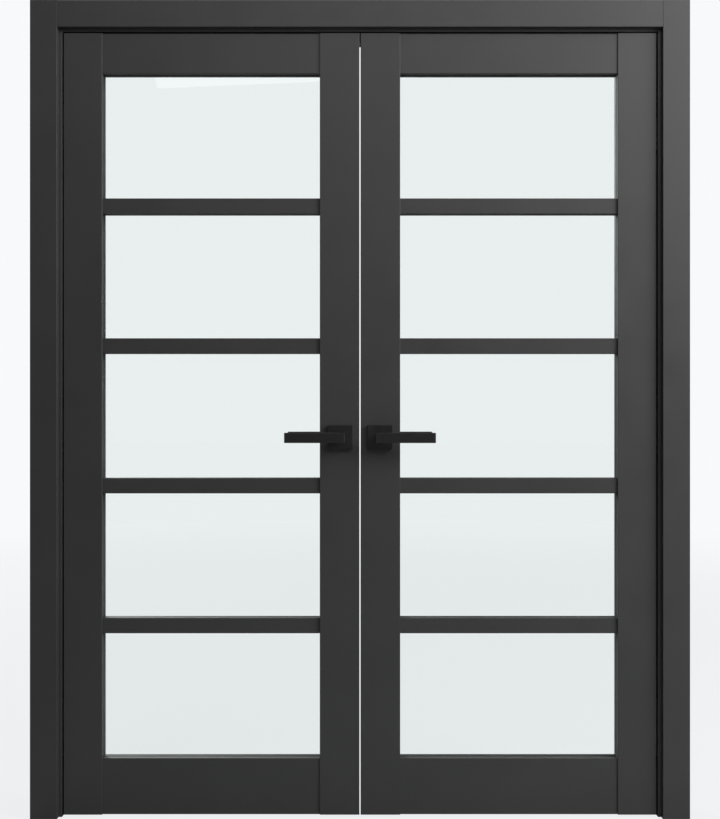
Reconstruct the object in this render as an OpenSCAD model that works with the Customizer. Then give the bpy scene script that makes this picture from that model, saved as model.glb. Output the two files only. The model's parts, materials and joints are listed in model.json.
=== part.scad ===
// A pair of glazed french doors in their frame, for a partition wall.
// X runs across the doorway, Y from front to back, Z up from the floor.
// The origin is on the floor, under the middle of the leaves' thickness.

/* [Leaves] */
// Width of one leaf
leaf_w = 769; // [700:1:900]
// Height of a leaf
leaf_h = 2032; // [1950:1:2300]
// Thickness of the stiles
leaf_t = 40; // [38:1:44]
// Width of the stile that carries the hinges
outer_stile_w = 100; // [90:1:120]
// Width of the stile at the middle of the doorway
meeting_stile_w = 103; // [95:1:120]
// Height of the top rail
top_rail_h = 104; // [90:1:130]
// Height of the bottom rail
bottom_rail_h = 146; // [120:1:220]
// Thickness of the rails, set back from the stiles on both faces
rail_t = 34; // [30:1:36]
// Height of a glazing bar
bar_h = 40; // [32:1:50]
// Thickness of a glazing bar
bar_t = 30; // [26:1:34]
// Number of glazing bars in a leaf
bar_count = 4; // [4:1:4]
// Radius of the eased long edges
edge_r = 1; // [1:0.5:3]

/* [Glazing] */
// Thickness of a pane
glass_t = 5; // [4:1:6]
// Depth of the glazing groove
groove_d = 10; // [8:1:12]
// Rubber on each face of a pane
rubber_t = 1; // [1:0.5:1.5]

/* [Gaps] */
// Gap between the two leaves
meeting_gap = 3; // [3:0.5:5]
// Gap between a leaf and its jamb
side_gap = 4; // [3.5:0.5:5]
// Gap over the leaves
top_gap = 4; // [3:0.5:6]
// Gap under the leaves
floor_gap = 6; // [4:1:12]

/* [Frame] */
// Thickness of the wall that the frame lines
wall_t = 80; // [75:1:150]
// Thickness of the jambs behind a leaf's edge
jamb_t = 34; // [34:1:40]
// Height of the stop that the leaves close against
stop_h = 12; // [10:1:15]
// Space between a closed leaf and its stop, which the seal fills
seal_t = 4; // [3.5:0.5:5]
// Width of a casing's face
casing_w = 70; // [60:1:90]
// Thickness of a casing
casing_t = 15; // [12:1:20]
// Width of the jamb's edge that a side casing leaves bare
reveal = 9; // [6:1:12]
// Width of the head's edge that its casing leaves bare
head_reveal = 7; // [5:1:12]

/* [Levers] */
// Height of the lever's axis over the floor
lever_z = 987; // [950:1:1050]
// Distance of the lever's axis from the leaf's meeting edge
backset = 50; // [50:1:60]
// Length of a grip on the far side of its axis
grip_l = 142; // [110:1:150]
// Height of a grip
grip_h = 26; // [20:1:28]
// Thickness of a grip
grip_t = 12; // [9:1:14]
// Distance of a grip's outer face from the leaf
lever_reach = 55; // [50:1:65]
// Side of the square rosette
rosette_w = 63; // [50:1:64]
// Thickness of the rosette
rosette_t = 9; // [7:1:12]

/* [Hidden] */
round_fn = 48;
half_gap = meeting_gap / 2;
leaf_out = half_gap + leaf_w;
leaf_z1 = floor_gap + leaf_h;
front_y = -leaf_t / 2;
back_y = front_y + wall_t;
rebate_x = leaf_out + side_gap;
rebate_z = leaf_z1 + top_gap;
frame_mid_y = (front_y + back_y) / 2;
stop_x = rebate_x - stop_h;
stop_y = leaf_t / 2 + seal_t;
stop_z = rebate_z - stop_h;
jamb_x = rebate_x + jamb_t;
head_z = rebate_z + jamb_t;
casing_x = rebate_x + reveal;
casing_z = rebate_z + head_reveal;

// leg of a casing, which lies on the jamb's outer face
leg_t = 6;
leg_l = 12;

// glazed opening of a leaf
open_x0 = half_gap + meeting_stile_w;
open_x1 = leaf_out - outer_stile_w;
open_z0 = floor_gap + bottom_rail_h;
open_z1 = leaf_z1 - top_rail_h;
pane_h = (open_z1 - open_z0 - bar_count * bar_h) / (bar_count + 1);
pane_pitch = pane_h + bar_h;
groove_w = glass_t + 2 * rubber_t;
pane_edge_play = 2;
bite = groove_d - pane_edge_play;
open_w = open_x1 - open_x0;
cut = 1; // how far a cutting shape runs past what it cuts

// dowels: places along a rail's end, from the rail's middle
dowel_l = 80;
dowel_r = 5;
bar_dowel_r = 4;
top_dowels = [-26, 26];
bottom_dowels = [-48, 0, 48];

// concealed hinges, in u from the leaf's axis into the wood and v behind the front
pivot_x = leaf_out + side_gap / 2;
hinge_end = 225;
hinge_zs = [for (t = [-1, 0, 1]) floor_gap + leaf_h / 2 + t * (leaf_h / 2 - hinge_end)];
case_wall = 1.5;
case_end_wall = 2;
case_v0 = 3;
case_v1 = 35;
case_u = 34.5;
case_h = 94;
plate_t = 3;
plate_h = 150;
hinge_screw_z = [56, 67];
arm_u = 17;
arm_v = 27;
arm_l = 44;
arm_t = 4;
tip_r = 3.5;
knuckle_r = 4.5;
pin_r = 2.5;
pin_play = 0.05;
pin_end_play = 0.3;
leaf_arm_z = 11;
lug_z = [11.5, 15.5];
frame_arm_z = [16, 44.5];

// wood screws
screw_r = 2;
screw_head_r = 4;
screw_head_h = 3;
screw_l = 25;
rosette_screw_l = 16;
rosette_screw_x = 22;
rosette_screw_y = 6;
corner_screw_l = 70;
bolt_screw_l = 12;
plate_screw_in = 10;

// fixing holes through the jambs' stops, into the wall
fix_r = 3;
fix_pitch = 550;
fix_z0 = 250;
fix_y = (stop_y + back_y) / 2;

// levers
axis_x = half_gap + backset;
neck_r = 10;
neck_play = 0.05;
lever_play = 0.3;
grip_back = 12;
spindle_w = 8;
spindle_l = 120;
spindle_bore_r = 7;

// magnetic latch in the right leaf and its strike in the left one
latch_z = lever_z + 45;
bolt_w = 11;
bolt_h = 16;
bolt_l = 40;
bolt_play = 0.3;
bolt_back = 0.5;
latch_d = 75;
latch_w = 18;
latch_z0 = lever_z - 90;
latch_z1 = lever_z + 75;
latch_plate = [plate_t, 24, 225];
latch_plate_z = (latch_z0 + latch_z1) / 2;
follower_r = 8;
follower_play = 0.2;
follower_arm = [6, 10, 18];
strike_plate_size = [2.5, 24, 80];
strike_box = [14, 16, 24];

// flush bolts in the left leaf's meeting edge
rod_r = 5;
rod_x = 20;
rod_play = 0.05;
rod_bore_r = 5.5;
rod_rest = 2;
bolt_case = [24, 16, 120];
bolt_plate = [2.5, 20, 180];
bolt_case_z = 200;
thumb = [18, 7, 12];
thumb_drop = 9;
thumb_slot = 50;
rod_tail = 10;
bolt_screw_in = 12;
keeper = [30, 20, 2.5];
keeper_screw_x = 11;
keeper_r = 6.5;
keeper_d = 20;

// rubber seal in the frame's stop
seal_w = 8;
seal_in = 2;
seal_free = 0.5;
seal_joint = 0.3;
jamb_edge_r = 1;
tongue_w = 3;
tongue_d = 5;

BARS = [1:bar_count];
LEAF_NODES = concat(
    ["outer_stile", "meeting_stile", "top_rail", "bottom_rail"],
    [for (i = BARS) str("bar_", i)],
    ["panes", "glazing_seals", "dowels", "hinge_cases", "screws",
     "front_rosette", "back_rosette", "front_lever", "back_lever", "spindle",
     "frame_arms", "leaf_arms"]);

graphite = "#3a3c3d";
black = "#1f1f1e";
zinc = "#a9abad";
rubber = "#141414";
beech = "#c8a373";
glass = "#cfe3df55";

// ---- shared shapes ----

// puts what is drawn for the right side on side s (-1 left, 1 right)
module on_side(s) {
    if (s > 0) children();
    else mirror([1, 0, 0]) children();
}

// what a corner loses when it is eased; sx, sy say which way the corner points
module corner_cut(sx, sy, r) {
    difference() {
        translate([sx > 0 ? 0 : -r - cut, sy > 0 ? 0 : -r - cut]) square(r + cut);
        circle(r = r, $fn = round_fn);
    }
}

// rectangle about its middle with its four corners eased
module eased_rect(w, d, r) {
    difference() {
        square([w, d], center = true);
        for (sx = [-1, 1], sy = [-1, 1])
            translate([sx * (w / 2 - r), sy * (d / 2 - r)]) corner_cut(sx, sy, r);
    }
}

// upright of section w by leaf_t, its middle at x
module upright(x, w) {
    translate([x, 0, floor_gap]) linear_extrude(leaf_h) eased_rect(w, leaf_t, edge_r);
}

// crosspiece between the stiles: height h, thickness t, its middle at z
module crosspiece(z, h, t) {
    translate([open_x0, 0, z]) rotate([90, 0, 90])
        linear_extrude(open_w) eased_rect(t, h, edge_r);
}

// box from corner a to corner b
module block(a, b) {
    translate(a) cube(b - a);
}

// countersunk screw: head up at the origin, shank down
module wood_screw(l) {
    translate([0, 0, -l]) cylinder(h = l, r = screw_r, $fn = round_fn);
    translate([0, 0, -screw_head_h])
        cylinder(h = screw_head_h, r1 = screw_r, r2 = screw_head_r, $fn = round_fn);
}

// ---- glazing and dowels ----

function pane_z(i) = open_z0 + i * pane_pitch;
function bar_z(i) = open_z0 + i * pane_pitch - bar_h / 2;

// the groove that runs round the whole glazed opening, in the stiles
module stile_groove(x, dir) {
    block([dir > 0 ? x : x - groove_d, -groove_w / 2, open_z0 - groove_d],
          [dir > 0 ? x + groove_d : x, groove_w / 2, open_z1 + groove_d]);
}

module rail_groove(z0, z1) {
    block([open_x0 - cut, -groove_w / 2, z0], [open_x1 + cut, groove_w / 2, z1]);
}

// dowels of one leaf; each lies half in a stile and half in a crosspiece
module dowel_set() {
    for (x = [open_x0, open_x1]) {
        for (dz = top_dowels) dowel(x, open_z1 + top_rail_h / 2 + dz, dowel_r);
        for (dz = bottom_dowels) dowel(x, floor_gap + bottom_rail_h / 2 + dz, dowel_r);
        for (i = BARS) dowel(x, bar_z(i), bar_dowel_r);
    }
}

module dowel(x, z, r) {
    translate([x - dowel_l / 2, 0, z]) rotate([0, 90, 0])
        cylinder(h = dowel_l, r = r, $fn = round_fn);
}

module panes() {
    for (i = [0:bar_count])
        block([open_x0 - bite, -glass_t / 2, pane_z(i) - bite],
              [open_x1 + bite, glass_t / 2, pane_z(i) + pane_h + bite]);
}

module glazing_seals() {
    difference() {
        for (i = [0:bar_count])
            block([open_x0 - groove_d, -groove_w / 2, pane_z(i) - groove_d],
                  [open_x1 + groove_d, groove_w / 2, pane_z(i) + pane_h + groove_d]);
        for (i = [0:bar_count])
            block([open_x0, -groove_w, pane_z(i)],
                  [open_x1, groove_w, pane_z(i) + pane_h]);
        panes();
    }
}

// ---- concealed hinges ----

// places what is drawn in u and v at the three hinges of side s;
// into is 1 for the jamb's half and -1 for the leaf's half
module at_hinges(s, into) {
    for (z = hinge_zs)
        translate([s * pivot_x, front_y, z]) on_side(s * into) children();
}

module hinge_body() {
    block([side_gap / 2, case_v0, -plate_h / 2],
          [side_gap / 2 + plate_t, case_v1, plate_h / 2]);
    block([side_gap / 2, case_v0, -case_h / 2], [case_u, case_v1, case_h / 2]);
}

module hinge_screws() {
    for (e = [-1, 1], dz = hinge_screw_z)
        translate([side_gap / 2, (case_v0 + case_v1) / 2, e * dz]) rotate([0, -90, 0])
            wood_screw(screw_l);
}

module hinge_case() {
    cavity_h = case_h - 2 * case_end_wall;
    difference() {
        union() {
            difference() {
                hinge_body();
                block([0, case_v0 + case_wall, -cavity_h / 2],
                      [case_u - case_wall, case_v1 - case_wall, cavity_h / 2]);
            }
            for (e = [-1, 1]) hinge_lug(e);
        }
        translate([arm_u, arm_v, -case_h / 2 - cut])
            cylinder(h = case_h + 2 * cut, r = pin_r + pin_play, $fn = round_fn);
        hinge_screws();
    }
}

// ledge in the case that carries an arm's pin, over (1) or under (-1) the middle
module hinge_lug(e) {
    z = e > 0 ? lug_z[0] : -lug_z[1];
    block([arm_u - knuckle_r, arm_v - knuckle_r, z],
          [case_u, case_v1, z + lug_z[1] - lug_z[0]]);
}

module arm_outline() {
    translate([arm_u, arm_v]) circle(r = knuckle_r, $fn = round_fn);
    translate([arm_u - arm_l, arm_v - arm_t / 2]) square([arm_l, arm_t]);
    translate([arm_u - arm_l, arm_v]) circle(r = tip_r, $fn = round_fn);
}

// the jamb's two arms, over and under the leaf's arm
module frame_arm_pair() {
    for (e = [0, 1]) mirror([0, 0, e]) {
        translate([0, 0, frame_arm_z[0]])
            linear_extrude(frame_arm_z[1] - frame_arm_z[0]) arm_outline();
        translate([arm_u, arm_v, lug_z[0] + pin_end_play])
            cylinder(h = case_h / 2 - lug_z[0] - pin_end_play, r = pin_r, $fn = round_fn);
    }
}

module leaf_arm() {
    translate([0, 0, -leaf_arm_z]) linear_extrude(2 * leaf_arm_z) arm_outline();
    translate([arm_u, arm_v, -lug_z[1] + pin_end_play])
        cylinder(h = 2 * (lug_z[1] - pin_end_play), r = pin_r, $fn = round_fn);
}

// ---- levers ----

// turns what is drawn along +Z to point out of the front (-1) or the back (1)
module out_of(face) {
    translate([axis_x, face * leaf_t / 2, lever_z]) rotate([-90 * face, 0, 0]) children();
}

module rosette_screws(face) {
    for (sx = [-1, 1])
        out_of(face) translate([sx * rosette_screw_x, sx * rosette_screw_x, rosette_screw_y])
            wood_screw(rosette_screw_l);
}

module rosette(face) {
    color(black) difference() {
        out_of(face) linear_extrude(rosette_t) eased_rect(rosette_w, rosette_w, edge_r);
        out_of(face) translate([0, 0, -cut])
            cylinder(h = rosette_t + 2 * cut, r = neck_r + neck_play, $fn = round_fn);
        rosette_screws(face);
    }
}

module spindle() {
    translate([axis_x, 0, lever_z]) cube([spindle_w, spindle_l, spindle_w], center = true);
}

module lever(face) {
    color(black) difference() {
        union() {
            out_of(face) translate([0, 0, lever_play])
                cylinder(h = lever_reach - grip_t / 2, r = neck_r, $fn = round_fn);
            translate([axis_x - grip_back, face * (leaf_t / 2 + lever_reach - grip_t / 2), lever_z])
                rotate([90, 0, 90]) linear_extrude(grip_l + grip_back)
                    eased_rect(grip_t, grip_h, edge_r);
        }
        spindle();
    }
}

module spindle_bore() {
    translate([axis_x, 0, lever_z]) rotate([90, 0, 0])
        cylinder(h = leaf_t + 2 * cut, r = spindle_bore_r, center = true, $fn = round_fn);
}

// ---- parts of a leaf, drawn for the right side ----

module outer_stile(s) {
    color(graphite) difference() {
        on_side(s) difference() {
            upright(leaf_out - outer_stile_w / 2, outer_stile_w);
            stile_groove(open_x1, 1);
            dowel_set();
        }
        at_hinges(s, -1) hinge_body();
        at_hinges(s, -1) hinge_screws();
    }
}

module meeting_stile(s) {
    color(graphite) on_side(s) difference() {
        upright(half_gap + meeting_stile_w / 2, meeting_stile_w);
        stile_groove(open_x0, -1);
        dowel_set();
        spindle_bore();
        for (face = [-1, 1]) rosette_screws(face);
        if (s > 0) {
            latch_body();
            latch_screws();
        } else {
            strike_body();
            strike_screws();
            for (end = [-1, 1]) flush_bolt_mortise(end);
        }
    }
}

module top_rail() {
    color(graphite) difference() {
        crosspiece(open_z1 + top_rail_h / 2, top_rail_h, rail_t);
        rail_groove(open_z1 - cut, open_z1 + groove_d);
        dowel_set();
    }
}

module bottom_rail() {
    color(graphite) difference() {
        crosspiece(floor_gap + bottom_rail_h / 2, bottom_rail_h, rail_t);
        rail_groove(open_z0 - groove_d, open_z0 + cut);
        dowel_set();
    }
}

// glazing bar i, counted from the floor, with a tongue in each stile's groove
module bar(i) {
    web = bar_h / 2 - groove_d;
    color(graphite) difference() {
        union() {
            difference() {
                crosspiece(bar_z(i), bar_h, bar_t);
                rail_groove(bar_z(i) + web, bar_z(i) + bar_h);
                rail_groove(bar_z(i) - bar_h, bar_z(i) - web);
            }
            block([open_x0 - groove_d, -groove_w / 2, bar_z(i) - web],
                  [open_x1 + groove_d, groove_w / 2, bar_z(i) + web]);
        }
        dowel_set();
    }
}

// ---- latch in the right leaf ----

module latch_body() {
    block([half_gap, -latch_plate[1] / 2, latch_plate_z - latch_plate[2] / 2],
          [half_gap + latch_plate[0], latch_plate[1] / 2, latch_plate_z + latch_plate[2] / 2]);
    block([half_gap, -latch_w / 2, latch_z0], [half_gap + latch_d, latch_w / 2, latch_z1]);
}

module latch_screws() {
    for (e = [-1, 1])
        translate([half_gap, 0, latch_plate_z + e * (latch_plate[2] / 2 - plate_screw_in)])
            rotate([0, -90, 0]) wood_screw(screw_l);
}

module latch_case() {
    slot_w = bolt_w / 2 + bolt_play;
    slot_h = bolt_h / 2 + bolt_play;
    color(zinc) difference() {
        latch_body();
        block([half_gap + plate_t, -latch_w / 2 + case_wall, latch_z0 + case_wall],
              [half_gap + latch_d - case_wall, latch_w / 2 - case_wall, latch_z1 - case_wall]);
        block([0, -slot_w, latch_z - slot_h],
              [half_gap + plate_t + cut, slot_w, latch_z + slot_h]);
        translate([axis_x, 0, lever_z]) rotate([90, 0, 0])
            cylinder(h = latch_w + 2 * cut, r = follower_r + neck_play, center = true,
                     $fn = round_fn);
        latch_screws();
    }
}

module latch_follower() {
    color(zinc) difference() {
        union() {
            translate([axis_x, 0, lever_z]) rotate([90, 0, 0])
                cylinder(h = latch_w - 2 * follower_play, r = follower_r, center = true,
                         $fn = round_fn);
            block([axis_x - follower_arm[0] / 2, -follower_arm[1] / 2, lever_z],
                  [axis_x + follower_arm[0] / 2, follower_arm[1] / 2, lever_z + follower_arm[2]]);
        }
        spindle();
    }
}

module latch_bolt() {
    color(zinc) block([half_gap + bolt_back, -bolt_w / 2, latch_z - bolt_h / 2],
                      [half_gap + bolt_back + bolt_l, bolt_w / 2, latch_z + bolt_h / 2]);
}

// ---- strike and flush bolts in the left leaf ----

module strike_body() {
    p = strike_plate_size;
    block([half_gap, -p[1] / 2, latch_z - p[2] / 2], [half_gap + p[0], p[1] / 2, latch_z + p[2] / 2]);
    block([half_gap, -strike_box[1] / 2, latch_z - strike_box[2] / 2],
          [half_gap + p[0] + strike_box[0], strike_box[1] / 2, latch_z + strike_box[2] / 2]);
}

module strike_screws() {
    for (e = [-1, 1])
        translate([half_gap, 0, latch_z + e * (strike_plate_size[2] / 2 - plate_screw_in)])
            rotate([0, -90, 0]) wood_screw(screw_l);
}

module strike_plate() {
    color(zinc) on_side(-1) difference() {
        strike_body();
        block([0, -strike_box[1] / 2 + case_wall, latch_z - strike_box[2] / 2 + case_wall],
              [half_gap + strike_plate_size[0] + strike_box[0] - case_wall,
               strike_box[1] / 2 - case_wall, latch_z + strike_box[2] / 2 - case_wall]);
        strike_screws();
    }
}

// places what is drawn for the bolt at the leaf's top; end -1 turns it over
module at_bolt(end) {
    translate([0, 0, floor_gap + leaf_h / 2]) mirror([0, 0, end > 0 ? 0 : 1])
        translate([0, 0, leaf_h / 2 - bolt_case_z]) children();
}

module flush_bolt_body() {
    block([half_gap, -bolt_plate[1] / 2, -bolt_plate[2] / 2],
          [half_gap + bolt_plate[0], bolt_plate[1] / 2, bolt_plate[2] / 2]);
    block([half_gap, -bolt_case[1] / 2, -bolt_case[2] / 2],
          [half_gap + bolt_plate[0] + bolt_case[0], bolt_case[1] / 2, bolt_case[2] / 2]);
}

module flush_bolt_screws() {
    for (e = [-1, 1])
        translate([half_gap, 0, e * (bolt_plate[2] / 2 - bolt_screw_in)]) rotate([0, -90, 0])
            wood_screw(bolt_screw_l);
}

module flush_bolt_mortise(end) {
    at_bolt(end) {
        flush_bolt_body();
        flush_bolt_screws();
        translate([rod_x, 0, 0]) cylinder(h = bolt_case_z + cut, r = rod_bore_r, $fn = round_fn);
    }
}

module flush_bolt_case() {
    c = bolt_case;
    difference() {
        flush_bolt_body();
        block([half_gap + bolt_plate[0], -c[1] / 2 + case_wall, -c[2] / 2 + case_wall],
              [half_gap + bolt_plate[0] + c[0] - case_wall, c[1] / 2 - case_wall,
               c[2] / 2 - case_wall]);
        block([0, -thumb[1] / 2 - bolt_play, -thumb_slot / 2],
              [half_gap + bolt_plate[0] + cut, thumb[1] / 2 + bolt_play, thumb_slot / 2]);
        translate([rod_x, 0, 0]) cylinder(h = c[2], r = rod_r + rod_play, $fn = round_fn);
        flush_bolt_screws();
    }
}

module bolt_rod(end) {
    color(zinc) on_side(-1) at_bolt(end) {
        translate([rod_x, 0, -thumb_drop - rod_tail])
            cylinder(h = bolt_case_z - rod_rest + thumb_drop + rod_tail, r = rod_r, $fn = round_fn);
        block([half_gap + bolt_back, -thumb[1] / 2, -thumb_drop - thumb[2] / 2],
              [half_gap + bolt_back + thumb[0], thumb[1] / 2, -thumb_drop + thumb[2] / 2]);
    }
}

// ---- the frame ----

module jamb_outline() {
    difference() {
        polygon([[rebate_x, front_y], [jamb_x, front_y], [jamb_x, back_y], [stop_x, back_y],
                 [stop_x, stop_y], [rebate_x, stop_y]]);
        for (corner = [[rebate_x, front_y], [stop_x, stop_y]])
            translate(corner + [jamb_edge_r, jamb_edge_r]) corner_cut(-1, -1, jamb_edge_r);
    }
}

module jamb(s) {
    color(graphite) difference() {
        on_side(s) difference() {
            linear_extrude(head_z) jamb_outline();
            block([stop_x - cut, stop_y - cut, stop_z], [rebate_x, back_y + cut, head_z + cut]);
            linear_extrude(head_z) seal_tongue();
            for (i = [0:3]) translate([stop_x - cut, fix_y, fix_z0 + i * fix_pitch])
                rotate([0, 90, 0])
                    cylinder(h = stop_h + jamb_t + 2 * cut, r = fix_r, $fn = round_fn);
            corner_screws();
        }
        at_hinges(s, 1) hinge_body();
        at_hinges(s, 1) hinge_screws();
    }
}

module head_jamb() {
    color(graphite) difference() {
        union() {
            block([-rebate_x, front_y, rebate_z], [rebate_x, back_y, head_z]);
            block([-rebate_x, stop_y, stop_z], [rebate_x, back_y, rebate_z]);
        }
        head_seal_tongue();
        for (s = [-1, 1]) on_side(s) corner_screws();
        keeper_body();
        keeper_screws();
        translate([-rod_x, 0, rebate_z - cut])
            cylinder(h = keeper_d + cut, r = keeper_r, $fn = round_fn);
    }
}

module corner_screws() {
    for (y = [0, fix_y]) translate([jamb_x, y, rebate_z + jamb_t / 2]) rotate([0, 90, 0])
        wood_screw(corner_screw_l);
}

module keeper_body() {
    translate([-rod_x, 0, rebate_z + keeper[2] / 2]) cube(keeper, center = true);
}

module keeper_screws() {
    for (e = [-1, 1]) translate([-rod_x + e * keeper_screw_x, 0, rebate_z]) rotate([180, 0, 0])
        wood_screw(screw_l);
}

module bolt_keeper() {
    color(zinc) difference() {
        keeper_body();
        keeper_screws();
        translate([-rod_x, 0, rebate_z - cut])
            cylinder(h = keeper_d, r = keeper_r, $fn = round_fn);
    }
}

// section of a front casing that leaves bare of the jamb's edge showing: X runs out
// from its inner edge, and its leg lies on the jamb's outer face
module casing_outline(bare) {
    difference() {
        translate([0, front_y - casing_t]) square([casing_w, casing_t]);
        for (e = [-1, 1])
            translate([casing_w / 2 + e * (casing_w / 2 - edge_r), front_y - casing_t + edge_r])
                corner_cut(e, -1, edge_r);
    }
    translate([jamb_t - bare, front_y - cut]) square([leg_t, leg_l + cut]);
}

// puts what is drawn for the front on face f (-1 front, 1 back)
module on_face(f) {
    if (f < 0) children();
    else translate([0, 2 * frame_mid_y, 0]) mirror([0, 1, 0]) children();
}

module side_casing(s, f) {
    color(graphite) on_side(s) on_face(f) translate([casing_x, 0, 0])
        linear_extrude(casing_z + casing_w) casing_outline(reveal);
}

module head_casing(f) {
    color(graphite) on_face(f) translate([casing_x, 0, casing_z])
        rotate([0, -90, 0]) linear_extrude(2 * casing_x) casing_outline(head_reveal);
}

// section of the seal in the right jamb's stop: the tongue and the strip
module seal_tongue() {
    translate([stop_x + seal_in + (seal_w - tongue_w) / 2, stop_y - cut])
        square([tongue_w, tongue_d + cut]);
}

module seal_strip() {
    translate([stop_x + seal_in, leaf_t / 2 + seal_free]) square([seal_w, seal_t - seal_free]);
}

// the same sections turned for the head
module along_head(l) {
    translate([l / 2, 0, stop_z - stop_x]) rotate([0, -90, 0]) linear_extrude(l) children();
}

module head_seal_tongue() {
    along_head(2 * rebate_x) seal_tongue();
}

module frame_seal() {
    color(rubber) {
        for (s = [-1, 1]) on_side(s) {
            linear_extrude(stop_z + seal_in - seal_joint) seal_strip();
            linear_extrude(stop_z) seal_tongue();
        }
        along_head(2 * (stop_x + seal_in + seal_w)) seal_strip();
        head_seal_tongue();
    }
}

// ---- what one side of the doors draws ----

module leaf_node(s, name) {
    p = str(s < 0 ? "left_" : "right_", name);
    children();
}

for (s = [-1, 1]) {
    leaf_node(s, "outer_stile") outer_stile(s);
    leaf_node(s, "meeting_stile") meeting_stile(s);
    leaf_node(s, "top_rail") on_side(s) top_rail();
    leaf_node(s, "bottom_rail") on_side(s) bottom_rail();
    for (i = BARS) leaf_node(s, str("bar_", i)) on_side(s) bar(i);
    leaf_node(s, "panes") color(glass) on_side(s) panes();
    leaf_node(s, "glazing_seals") color(rubber) on_side(s) glazing_seals();
    leaf_node(s, "dowels") color(beech) on_side(s) dowel_set();
    leaf_node(s, "hinge_cases") color(zinc) at_hinges(s, -1) hinge_case();
    leaf_node(s, "screws") color(zinc) {
        at_hinges(s, -1) hinge_screws();
        on_side(s) for (face = [-1, 1]) rosette_screws(face);
        on_side(s) if (s > 0) latch_screws(); else strike_screws();
        if (s < 0) on_side(s) for (end = [-1, 1]) at_bolt(end) flush_bolt_screws();
    }
    leaf_node(s, "front_rosette") on_side(s) rosette(-1);
    leaf_node(s, "back_rosette") on_side(s) rosette(1);
    leaf_node(s, "front_lever") on_side(s) lever(-1);
    leaf_node(s, "back_lever") on_side(s) lever(1);
    leaf_node(s, "spindle") color(zinc) on_side(s) spindle();
    leaf_node(s, "frame_arms") color(zinc) at_hinges(s, 1) frame_arm_pair();
    leaf_node(s, "leaf_arms") color(zinc) at_hinges(s, -1) leaf_arm();
}
jamb(-1);  // jamb_left
jamb(1);  // jamb_right
head_jamb();
side_casing(-1, -1);  // front_casing_left
side_casing(1, -1);  // front_casing_right
head_casing(-1);  // front_casing_head
side_casing(-1, 1);  // back_casing_left
side_casing(1, 1);  // back_casing_right
head_casing(1);  // back_casing_head
frame_seal();
color(zinc) for (s = [-1, 1]) at_hinges(s, 1) hinge_case();  // frame_hinge_cases
color(zinc) {  // frame_screws
    for (s = [-1, 1]) at_hinges(s, 1) hinge_screws();
    for (s = [-1, 1]) on_side(s) corner_screws();
    keeper_screws();
}
bolt_keeper();
strike_plate();
color(zinc) on_side(-1) for (end = [-1, 1]) at_bolt(end) flush_bolt_case();  // flush_bolt_cases
bolt_rod(1);  // top_bolt_rod
bolt_rod(-1);  // bottom_bolt_rod
latch_case();
latch_follower();
latch_bolt();
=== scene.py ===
"""French doors in their frame: lacquer, glass, rubber and metal finishes, small parts, and a pale studio."""
import json
import math

import bmesh
import bpy
from mathutils import Matrix, Vector


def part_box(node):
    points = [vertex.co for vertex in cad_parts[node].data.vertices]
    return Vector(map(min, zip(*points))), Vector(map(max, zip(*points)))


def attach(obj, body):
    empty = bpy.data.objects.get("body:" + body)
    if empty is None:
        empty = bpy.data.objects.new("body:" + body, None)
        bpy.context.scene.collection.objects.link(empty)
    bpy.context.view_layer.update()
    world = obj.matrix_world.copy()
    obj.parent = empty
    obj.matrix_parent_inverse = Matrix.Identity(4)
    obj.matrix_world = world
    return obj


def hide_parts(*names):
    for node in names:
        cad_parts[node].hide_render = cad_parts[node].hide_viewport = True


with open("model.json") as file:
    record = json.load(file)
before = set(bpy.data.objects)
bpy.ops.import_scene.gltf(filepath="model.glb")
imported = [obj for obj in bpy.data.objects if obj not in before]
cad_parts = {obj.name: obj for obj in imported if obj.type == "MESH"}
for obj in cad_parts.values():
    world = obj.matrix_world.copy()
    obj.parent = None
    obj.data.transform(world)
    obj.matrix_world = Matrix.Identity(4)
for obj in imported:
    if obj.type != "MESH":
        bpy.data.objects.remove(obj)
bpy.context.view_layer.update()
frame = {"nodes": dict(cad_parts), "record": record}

MM = 0.001
WELD = 0.002 * MM           # points of a CAD piece that lie closer than this are one
TOUCH = 0.0005 * MM         # the same for the pieces made here
SIDES = ("left", "right")
FACES = ("front", "back")
nodes = frame["nodes"]


# ---- camera, light and floor ----

CAMERA_BACK = 2.62      # from the middle of the leaves' thickness
CAMERA_HEIGHT = 1.0595
LENS = 43.96
PALE = "#f8f9fb"


def linear(hex_colour, alpha=1.0):
    """A colour written as #rrggbb, as the linear values that shaders take."""
    values = [int(hex_colour[i:i + 2], 16) / 255 for i in (1, 3, 5)]
    values = [v / 12.92 if v <= 0.04045 else ((v + 0.055) / 1.055) ** 2.4 for v in values]
    return (*values, alpha)


def add(tree, kind, inputs=None, **settings):
    """Adds a node; inputs maps a socket's name or number to a value or to another node's output."""
    made = tree.nodes.new(kind)
    for name, value in settings.items():
        setattr(made, name, value)
    for socket, value in (inputs or {}).items():
        if isinstance(value, bpy.types.NodeSocket):
            tree.links.new(value, made.inputs[socket])
        else:
            made.inputs[socket].default_value = value
    return made


def make_camera():
    data = bpy.data.cameras.new("camera")
    data.lens = LENS
    camera = bpy.data.objects.new("camera", data)
    camera.location = (0, -CAMERA_BACK, CAMERA_HEIGHT)
    camera.rotation_euler = (math.pi / 2, 0, 0)
    bpy.context.scene.collection.objects.link(camera)
    bpy.context.scene.camera = camera


def softbox(name, place, aim, size, watts):
    data = bpy.data.lights.new(name, "AREA")
    data.shape = "RECTANGLE"
    data.size, data.size_y = size
    data.energy = watts
    lamp = bpy.data.objects.new(name, data)
    lamp.location = place
    lamp.rotation_euler = (Vector(aim) - Vector(place)).to_track_quat("-Z", "Y").to_euler()
    lamp.visible_camera = False
    lamp.visible_transmission = False
    bpy.context.scene.collection.objects.link(lamp)


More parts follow.
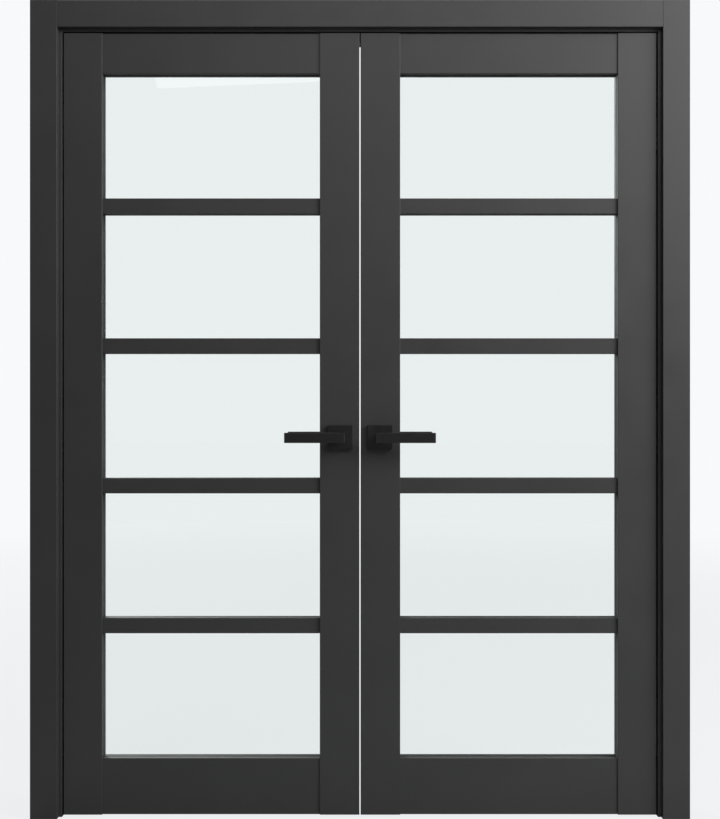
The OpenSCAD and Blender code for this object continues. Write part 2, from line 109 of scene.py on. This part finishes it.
def seen_directly(tree, own_turns=0):
    """1 for what is looked at, straight or through glass alone, and 0 for what lights the object.

    own_turns is what a ray's depth counts for the thing itself: 1 for the backdrop, 0 for a surface.
    """
    path = add(tree, "ShaderNodeLightPath")
    looked_at = add(tree, "ShaderNodeMath", {0: path.outputs["Is Camera Ray"],
                    1: path.outputs["Is Transmission Ray"]}, operation="MAXIMUM")
    turns = add(tree, "ShaderNodeMath", {0: path.outputs["Ray Depth"],
                1: path.outputs["Transmission Depth"]}, operation="SUBTRACT")
    straight = add(tree, "ShaderNodeMath", {0: turns.outputs[0], 1: own_turns + 0.5}, operation="LESS_THAN")
    return add(tree, "ShaderNodeMath", {0: looked_at.outputs[0], 1: straight.outputs[0]},
               operation="MULTIPLY").outputs[0]


def make_world(seen=1.0, room=0.13):
    """A pale backdrop all round, dimmer as a source of light than as a sight."""
    world = bpy.data.worlds.new("studio")
    bpy.context.scene.world = world
    world.use_nodes = True
    tree = world.node_tree
    tree.nodes.clear()
    strength = add(tree, "ShaderNodeMapRange", {"Value": seen_directly(tree, own_turns=1),
                   "To Min": room, "To Max": seen})
    sky = add(tree, "ShaderNodeBackground", {"Color": linear(PALE), "Strength": strength.outputs[0]})
    add(tree, "ShaderNodeOutputWorld", {"Surface": sky.outputs[0]})


def make_floor(radius=30.0, near=2.0, far=7.0, lifted=0.87):
    """A pale round floor that fades into the backdrop far from the doors, and is lifted in tone near them."""
    bm = bmesh.new()
    bmesh.ops.create_circle(bm, cap_ends=True, segments=96, radius=radius)
    mesh = bpy.data.meshes.new("floor")
    bm.to_mesh(mesh)
    bm.free()
    floor = bpy.data.objects.new("floor", mesh)
    bpy.context.scene.collection.objects.link(floor)
    material = bpy.data.materials.new("pale_studio_floor")
    material.use_nodes = True
    tree = material.node_tree
    tree.nodes.clear()
    coords = add(tree, "ShaderNodeTexCoord")
    distance = add(tree, "ShaderNodeVectorMath", {0: coords.outputs["Object"]}, operation="LENGTH")
    fade = add(tree, "ShaderNodeMapRange", {"Value": distance.outputs["Value"], "From Min": near,
               "From Max": far, "To Min": lifted}, interpolation_type="SMOOTHSTEP")
    share = add(tree, "ShaderNodeMath", {0: seen_directly(tree), 1: fade.outputs[0]}, operation="MULTIPLY")
    matt = add(tree, "ShaderNodeBsdfDiffuse", {"Color": linear("#a8a8a8")})
    lift = add(tree, "ShaderNodeEmission", {"Color": linear(PALE)})
    whole = add(tree, "ShaderNodeMixShader", {0: share.outputs[0], 1: matt.outputs[0], 2: lift.outputs[0]})
    add(tree, "ShaderNodeOutputMaterial", {"Surface": whole.outputs[0]})
    mesh.materials.append(material)


# ---- finishes ----

def new_material(name):
    material = bpy.data.materials.new(name)
    material.use_nodes = True
    tree = material.node_tree
    tree.nodes.clear()
    return material, tree


def surface(tree, **inputs):
    """The Principled shader and the output; keys are its sockets' names with _ for a space."""
    shader = add(tree, "ShaderNodeBsdfPrincipled", {k.replace("_", " "): v for k, v in inputs.items()})
    add(tree, "ShaderNodeOutputMaterial", {"Surface": shader.outputs[0]})
    return shader


CLOUD_LOW, CLOUD_HIGH = 0.3, 0.7    # nearly all of a noise texture's values lie between these


def mottled(tree, size_mm, low, high, stretch=(1, 1, 1), detail=3.0):
    """A soft cloud of values from low to high, size_mm across, on the piece's own coordinates."""
    coords = add(tree, "ShaderNodeTexCoord")
    mapping = add(tree, "ShaderNodeMapping", {"Vector": coords.outputs["Object"], "Scale": stretch})
    noise = add(tree, "ShaderNodeTexNoise", {"Vector": mapping.outputs[0],
                "Scale": 1 / (size_mm * MM), "Detail": detail})
    return add(tree, "ShaderNodeMapRange", {"Value": noise.outputs[0], "From Min": CLOUD_LOW,
               "From Max": CLOUD_HIGH, "To Min": low, "To Max": high}).outputs[0]


def tinted(tree, hex_colour, factor):
    """hex_colour times a factor that varies over the surface."""
    colour = add(tree, "ShaderNodeRGB")
    colour.outputs[0].default_value = linear(hex_colour)
    return add(tree, "ShaderNodeVectorMath", {0: colour.outputs[0], "Scale": factor},
               operation="SCALE").outputs[0]


def bumped(tree, height, depth_mm):
    return add(tree, "ShaderNodeBump", {"Height": height, "Strength": 1.0,
               "Distance": depth_mm * MM}).outputs[0]


def graphite_lacquer():
    """Sprayed polyurethane lacquer on MDF-faced wood: dark, satin-matt, with a trace of orange peel."""
    material, tree = new_material("graphite_lacquer")
    surface(tree,
            Base_Color=tinted(tree, "#323232", mottled(tree, 260, 0.94, 1.06)),
            Roughness=mottled(tree, 90, 0.46, 0.54),
            Normal=bumped(tree, mottled(tree, 4, 0, 1, detail=1.0), 0.012))
    return material


def black_powder_coat():
    """Powder coat on cast zinc: near black, fine-grained and satin."""
    material, tree = new_material("black_powder_coat")
    surface(tree,
            Base_Color=tinted(tree, "#161616", mottled(tree, 30, 0.92, 1.08)),
            Roughness=mottled(tree, 12, 0.38, 0.46),
            Normal=bumped(tree, mottled(tree, 0.8, 0, 1, detail=2.0), 0.01))
    return material


def float_glass():
    """Clear float glass with its faint green, which lets lamps through as a thin pane does."""
    material, tree = new_material("clear_float_glass")
    glass = add(tree, "ShaderNodeBsdfPrincipled", {"Base Color": linear("#f7fcfa"), "Roughness": 0.0,
                "IOR": 1.5, "Transmission Weight": 1.0})
    clear = add(tree, "ShaderNodeBsdfTransparent", {"Color": linear("#f7fcfa")})
    path = add(tree, "ShaderNodeLightPath")
    pane = add(tree, "ShaderNodeMixShader", {0: path.outputs["Is Shadow Ray"], 1: glass.outputs[0],
               2: clear.outputs[0]})
    add(tree, "ShaderNodeOutputMaterial", {"Surface": pane.outputs[0]})
    return material


def epdm_rubber():
    """Extruded EPDM rubber: black, dull, with faint lines along its length."""
    material, tree = new_material("epdm_rubber")
    surface(tree,
            Base_Color=tinted(tree, "#161617", mottled(tree, 15, 0.9, 1.1)),
            Roughness=mottled(tree, 10, 0.68, 0.8),
            Normal=bumped(tree, mottled(tree, 1.0, 0, 1, stretch=(1, 1, 0.05)), 0.03))
    return material


def zinc_plate():
    """Zinc-plated steel and cast zinc: satin grey metal with a slight bloom."""
    material, tree = new_material("zinc_plated_steel")
    surface(tree,
            Base_Color=tinted(tree, "#a9abad", mottled(tree, 9, 0.94, 1.04)),
            Metallic=1.0,
            Roughness=mottled(tree, 3, 0.30, 0.38),
            Normal=bumped(tree, mottled(tree, 0.6, 0, 1), 0.006))
    return material


def beech():
    """Bare beech: pinkish straw with short dark flecks along the grain."""
    material, tree = new_material("beech")
    surface(tree,
            Base_Color=tinted(tree, "#c8a373", mottled(tree, 1.2, 0.8, 1.08, stretch=(0.08, 1, 1))),
            Roughness=0.62)
    return material


def finish_cad_nodes(by_slot):
    slot_of = {row["node"]: row["material_slot"] for row in frame["record"]["subparts"]}
    for name, obj in nodes.items():
        obj.data.materials.clear()
        obj.data.materials.append(by_slot[slot_of[name]])


def ease_edges(width_mm=0.5, sharper_than=50):
    """Breaks the sharp arrises of the pieces that keep their CAD shape, as sanding and spraying do."""
    for name, obj in nodes.items():
        if obj.hide_render or name.endswith(("panes", "dowels", "glazing_seals")):
            continue
        weld = obj.modifiers.new("weld", "WELD")
        weld.merge_threshold = WELD
        ease = obj.modifiers.new("ease", "BEVEL")
        ease.width = width_mm * MM
        ease.segments = 2
        ease.limit_method = "ANGLE"
        ease.angle_limit = math.radians(sharper_than)
        shade = obj.modifiers.new("shade", "WEIGHTED_NORMAL")
        shade.keep_sharp = True


# ---- small parts ----

def piece(name, bm, body, material, stands_for=()):
    """Makes bm a finished piece with its faces outwards, riding on its body."""
    mesh = bpy.data.meshes.new(name)
    bmesh.ops.remove_doubles(bm, verts=bm.verts, dist=TOUCH)
    bmesh.ops.recalc_face_normals(bm, faces=bm.faces)
    bm.to_mesh(mesh)
    bm.free()
    obj = bpy.data.objects.new(name, mesh)
    bpy.context.scene.collection.objects.link(obj)
    mesh.materials.append(material)
    mesh.shade_smooth()
    shade = obj.modifiers.new("shade", "WEIGHTED_NORMAL")
    shade.keep_sharp = True
    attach(obj, body)
    if stands_for:
        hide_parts(*stands_for)


def extruded(bm, edges):
    """Extrudes edges in place, and returns the new points and the new edges."""
    made = bmesh.ops.extrude_edge_only(bm, edges=edges)["geom"]
    return ([v for v in made if isinstance(v, bmesh.types.BMVert)],
            [e for e in made if isinstance(e, bmesh.types.BMEdge)])


def grow(bm, edges, rings):
    """Extrudes a loop of edges round the Z axis through rings of (radius, z), and returns the last loop."""
    for radius, z in rings:
        verts, edges = extruded(bm, edges)
        for vert in verts:
            now = math.hypot(vert.co.x, vert.co.y)
            vert.co = (vert.co.x * radius / now, vert.co.y * radius / now, z)
    return edges


def loop_of(bm, points):
    """A closed loop of edges through points."""
    verts = [bm.verts.new(p) for p in points]
    return [bm.edges.new((verts[i - 1], verts[i])) for i in range(len(verts))]


def circle(bm, radius, z, segments):
    return loop_of(bm, [(radius * math.cos(a), radius * math.sin(a), z)
                        for a in (math.tau * i / segments for i in range(segments))])


def close(bm, edges):
    bmesh.ops.contextual_create(bm, geom=edges)


SCREW_HEAD_R = 4 * MM
SCREW_HEAD_H = 3 * MM
HEAD_RIM = 0.3 * MM
SCREW_R = 2 * MM
SCREW_CORE_R = 1.45 * MM
SCREW_POINT = 4 * MM
SCREW_TIP_R = 0.2 * MM
SCREW_STEPS = 32            # round the head and the shank
PLAIN_SHARE = 0.3           # of a screw's length, from its head, that has no thread
THREAD_PITCH = 2 * MM
THREAD_HALF = 0.4 * MM
THREAD_ROOT_R = 1.305 * MM  # a little inside the core, so that the ridge grows out of it
THREAD_STEPS = 12           # to a turn
RECESS_ARM = 2.1 * MM
RECESS_HALF = 0.5 * MM
RECESS_DEPTH = 1.9 * MM
RECESS_TAPER = 0.45


def cross_outline():
    """The mouth of a cross recess, with four arms."""
    points = []
    for quarter in range(4):
        turn = Matrix.Rotation(quarter * math.pi / 2, 3, "Z")
        for x, y in ((RECESS_ARM, -RECESS_HALF), (RECESS_ARM, RECESS_HALF), (RECESS_HALF, RECESS_HALF)):
            points.append(turn @ Vector((x, y, 0)))
    return points


def add_thread(bm, top, length):
    """A helical ridge round a screw's core, from top down."""
    section = [(THREAD_ROOT_R, 0, top), (SCREW_R, 0, top - THREAD_HALF),
               (THREAD_ROOT_R, 0, top - 2 * THREAD_HALF)]
    turns = int((length - SCREW_POINT) / THREAD_PITCH)
    ridge = loop_of(bm, section)
    bmesh.ops.spin(bm, geom=ridge, cent=(0, 0, 0), axis=(0, 0, 1), angle=math.tau * turns,
                   dvec=(0, 0, -THREAD_PITCH / THREAD_STEPS), steps=THREAD_STEPS * turns)
    bmesh.ops.holes_fill(bm, edges=[e for e in bm.edges if e.is_boundary], sides=len(section))


def screw_template(length):
    """Countersunk wood screw with a cross recess, head up at the origin, and a coarse thread."""
    bm = bmesh.new()
    rim = circle(bm, SCREW_HEAD_R, 0, SCREW_STEPS)
    mouth = loop_of(bm, cross_outline())
    bmesh.ops.triangle_fill(bm, edges=rim + mouth, use_beauty=True)
    verts, floor_edges = extruded(bm, mouth)
    for vert in verts:
        vert.co = (vert.co.x * RECESS_TAPER, vert.co.y * RECESS_TAPER, -RECESS_DEPTH)
    close(bm, floor_edges)
    plain = PLAIN_SHARE * length
    close(bm, grow(bm, rim, [(SCREW_HEAD_R, -HEAD_RIM), (SCREW_R, -SCREW_HEAD_H), (SCREW_R, -plain),
                             (SCREW_CORE_R, -plain - THREAD_HALF), (SCREW_CORE_R, SCREW_POINT - length),
                             (SCREW_TIP_R, -length)]))
    add_thread(bm, -plain - 2 * THREAD_HALF, length - plain)
    mesh = bpy.data.meshes.new("screw_template")
    bm.to_mesh(mesh)
    bm.free()
    return mesh


def solids_of(node):
    """The separate solids of a CAD node, each as the list of its points."""
    bm = bmesh.new()
    bm.from_mesh(nodes[node].data)
    bmesh.ops.remove_doubles(bm, verts=bm.verts, dist=WELD)
    left = set(bm.verts)
    solids = []
    while left:
        reached = [left.pop()]
        for vert in reached:
            for edge in vert.link_edges:
                other = edge.other_vert(vert)
                if other in left:
                    left.remove(other)
                    reached.append(other)
        solids.append([v.co.copy() for v in reached])
    bm.free()
    return solids


def screw_place(points):
    """Where a screw stands: the matrix that takes one from its template, and its length."""
    low = Vector([min(p[i] for p in points) for i in range(3)])
    high = Vector([max(p[i] for p in points) for i in range(3)])
    middle = (low + high) / 2
    along = max(range(3), key=lambda i: high[i] - low[i])
    across = [i for i in range(3) if i != along]
    widest = max(points, key=lambda p: math.hypot(*(p[i] - middle[i] for i in across)))
    head = high[along] if widest[along] > middle[along] else low[along]
    up = Vector((0, 0, 0))
    up[along] = 1 if head == high[along] else -1
    top = middle.copy()
    top[along] = head
    turn = up.to_track_quat("Z", "Y").to_matrix().to_4x4()
    return Matrix.Translation(top) @ turn, high[along] - low[along]


def make_screws(node, body, material):
    """The screws of a CAD node, each with its recess and thread."""
    bm = bmesh.new()
    for points in solids_of(node):
        matrix, length = screw_place(points)
        screw = screw_template(length)
        screw.transform(matrix)
        bm.from_mesh(screw)
        bpy.data.meshes.remove(screw)
    piece(f"{node}_crosshead", bm, body, material, stands_for=(node,))


GRIP_T = 12 * MM
GRIP_EASE = 1.4 * MM
NECK_R = 10 * MM
NECK_FILLET = 1.8 * MM
NECK_STEPS = 64             # round the neck
FILLET_STEPS = 4
GRIP_EASE_STEPS = 4
GRUB_R = 3 * MM
GRUB_STEPS = 32
GRUB_SOCKET_R = 1.6 * MM
GRUB_SOCKET_D = 2 * MM
GRUB_L = 3 * MM
GRUB_PROUD = 0.15 * MM


def make_lever(side, face, material):
    """Cast lever: a slab grip with eased arrises, on a round neck that flares where it meets it."""
    node = f"{side}_{face}_lever"
    low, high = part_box(node)
    spindle_low, spindle_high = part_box(f"{side}_spindle")
    axis = (spindle_low + spindle_high) / 2
    outer, inner = (low.y, high.y) if face == "front" else (high.y, low.y)
    out = math.copysign(1, outer)
    reach = abs(outer - inner) - GRIP_T
    rings = [(NECK_R, reach - NECK_FILLET)]
    for step in range(1, FILLET_STEPS + 1):
        turn = step / FILLET_STEPS * math.pi / 2
        flare = NECK_FILLET * (1 - math.cos(turn))
        below = NECK_FILLET * (1 - math.sin(turn))
        rings.append((NECK_R + flare, reach - below))
    rings.append((NECK_R, reach + GRIP_T / 2))
    bm = bmesh.new()
    start = circle(bm, NECK_R, 0, NECK_STEPS)
    end = grow(bm, start, rings)
    close(bm, start)
    close(bm, end)
    stand = Matrix.Translation((axis.x, inner, axis.z)) @ Matrix.Rotation(-out * math.pi / 2, 4, "X")
    bmesh.ops.transform(bm, matrix=stand, verts=bm.verts)
    size = Vector((high.x - low.x, GRIP_T, high.z - low.z))
    place = Vector(((low.x + high.x) / 2, outer - out * GRIP_T / 2, axis.z))
    grip = bmesh.ops.create_cube(bm, size=1, matrix=Matrix.Translation(place) @ Matrix.Diagonal((*size, 1)))
    edges = {e for v in grip["verts"] for e in v.link_edges}
    bmesh.ops.bevel(bm, geom=list(edges), offset=GRIP_EASE, segments=GRIP_EASE_STEPS, profile=0.5,
                    material=-1, affect="EDGES")
    piece(f"{node}_cast", bm, f"{side}_lever", material, stands_for=(node,))
    place = Vector((axis.x, inner + out * reach / 2, axis.z - NECK_R - GRUB_PROUD))
    make_grub_screw(f"{side}_{face}_grub_screw", place, f"{side}_lever", material)


def make_grub_screw(name, place, body, material):
    """Grub screw under a lever's neck, with its hexagon socket."""
    bm = bmesh.new()
    rim = circle(bm, GRUB_R, 0, GRUB_STEPS)
    socket = circle(bm, GRUB_SOCKET_R, 0, 6)
    bmesh.ops.triangle_fill(bm, edges=rim + socket, use_beauty=True)
    close(bm, grow(bm, socket, [(GRUB_SOCKET_R, -GRUB_SOCKET_D)]))
    close(bm, grow(bm, rim, [(GRUB_R, -GRUB_L)]))
    turn = Matrix.Translation(place) @ Matrix.Rotation(math.pi, 4, "X")
    bmesh.ops.transform(bm, matrix=turn, verts=bm.verts)
    piece(name, bm, body, material)


SEAL_IN = 2 * MM            # from the stop's corner to the seal's near side
SEAL_W = 8 * MM
BULB_H = 3.5 * MM
BULB_WALL = 0.9 * MM
BULB_FOOT = 0.45 * MM       # rubber between the hollow and the seat
SKIN_STEPS = 16
HOLLOW_STEPS = 12
TONGUE_HALF = 1.5 * MM


def make_frame_seal(material):
    """Hollow bulb seal with a tongue in the stop's groove, up, across and down with mitred corners.

    Its section is drawn at the foot of the left jamb and swept from there.
    """
    low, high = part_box("frame_seal")
    stop_x = high.x - SEAL_IN - SEAL_W
    stop_z = high.z - SEAL_IN - SEAL_W
    seat = low.y + BULB_H
    middle = stop_x + SEAL_IN + SEAL_W / 2
    tongue = high.y - seat

    def at(across, proud):
        return Vector((-middle - across, seat - proud, 0))

    def arch(half, height, foot, steps):
        turns = [math.pi * i / steps for i in range(steps + 1)]
        return [at(half * math.cos(a), foot + height * math.sin(a)) for a in turns]

    bm = bmesh.new()
    skin = loop_of(bm, arch(SEAL_W / 2, BULB_H, 0, SKIN_STEPS)
                   + [at(-TONGUE_HALF, 0), at(-TONGUE_HALF, -tongue), at(TONGUE_HALF, -tongue),
                      at(TONGUE_HALF, 0)])
    hollow = loop_of(bm, arch(SEAL_W / 2 - BULB_WALL, BULB_H - BULB_WALL - BULB_FOOT, BULB_FOOT,
                              HOLLOW_STEPS))
    made = bmesh.ops.triangle_fill(bm, edges=skin + hollow, use_beauty=True)["geom"]
    left_end = [f for f in made if isinstance(f, bmesh.types.BMFace)]
    right_end = bmesh.ops.duplicate(bm, geom=left_end)["geom"]
    for vert in (v for v in right_end if isinstance(v, bmesh.types.BMVert)):
        vert.co.x = -vert.co.x
    verts, edges = extruded(bm, skin + hollow)
    for vert in verts:
        vert.co.z = stop_z - stop_x - vert.co.x
    verts, edges = extruded(bm, edges)
    for vert in verts:
        vert.co.x = -vert.co.x
    verts, edges = extruded(bm, edges)
    for vert in verts:
        vert.co.z = 0
    piece("frame_bulb_seal", bm, "frame", material, stands_for=("frame_seal",))


bpy.context.scene.view_settings.view_transform = "Standard"
make_camera()
make_world()
make_floor()
softbox("key", (3.6, -1.6, 2.6), (0.6, 0.0, 1.2), (2.0, 2.0), 190)
softbox("strip", (0.6, -3.2, 3.8), (0.2, 0.0, 1.4), (4.0, 1.6), 36)
softbox("top", (2.2, -1.8, 3.8), (0.4, 0.0, 1.4), (2.4, 1.6), 33)
softbox("behind", (-2.4, 3.6, 3.0), (0.0, 0.0, 1.1), (3.0, 2.0), 150)

lacquer = graphite_lacquer()
coat = black_powder_coat()
rubber = epdm_rubber()
plate = zinc_plate()
finish_cad_nodes({
    "graphite_lacquered_wood": lacquer,
    "clear_glass": float_glass(),
    "black_rubber": rubber,
    "beech": beech(),
    "black_coated_zinc": coat,
    "zinc_plated_steel": plate,
})
for side in SIDES:
    for face in FACES:
        make_lever(side, face, coat)
for node, body in (("frame_screws", "frame"), ("left_screws", "left_leaf"), ("right_screws", "right_leaf")):
    make_screws(node, body, plate)
make_frame_seal(rubber)
ease_edges()
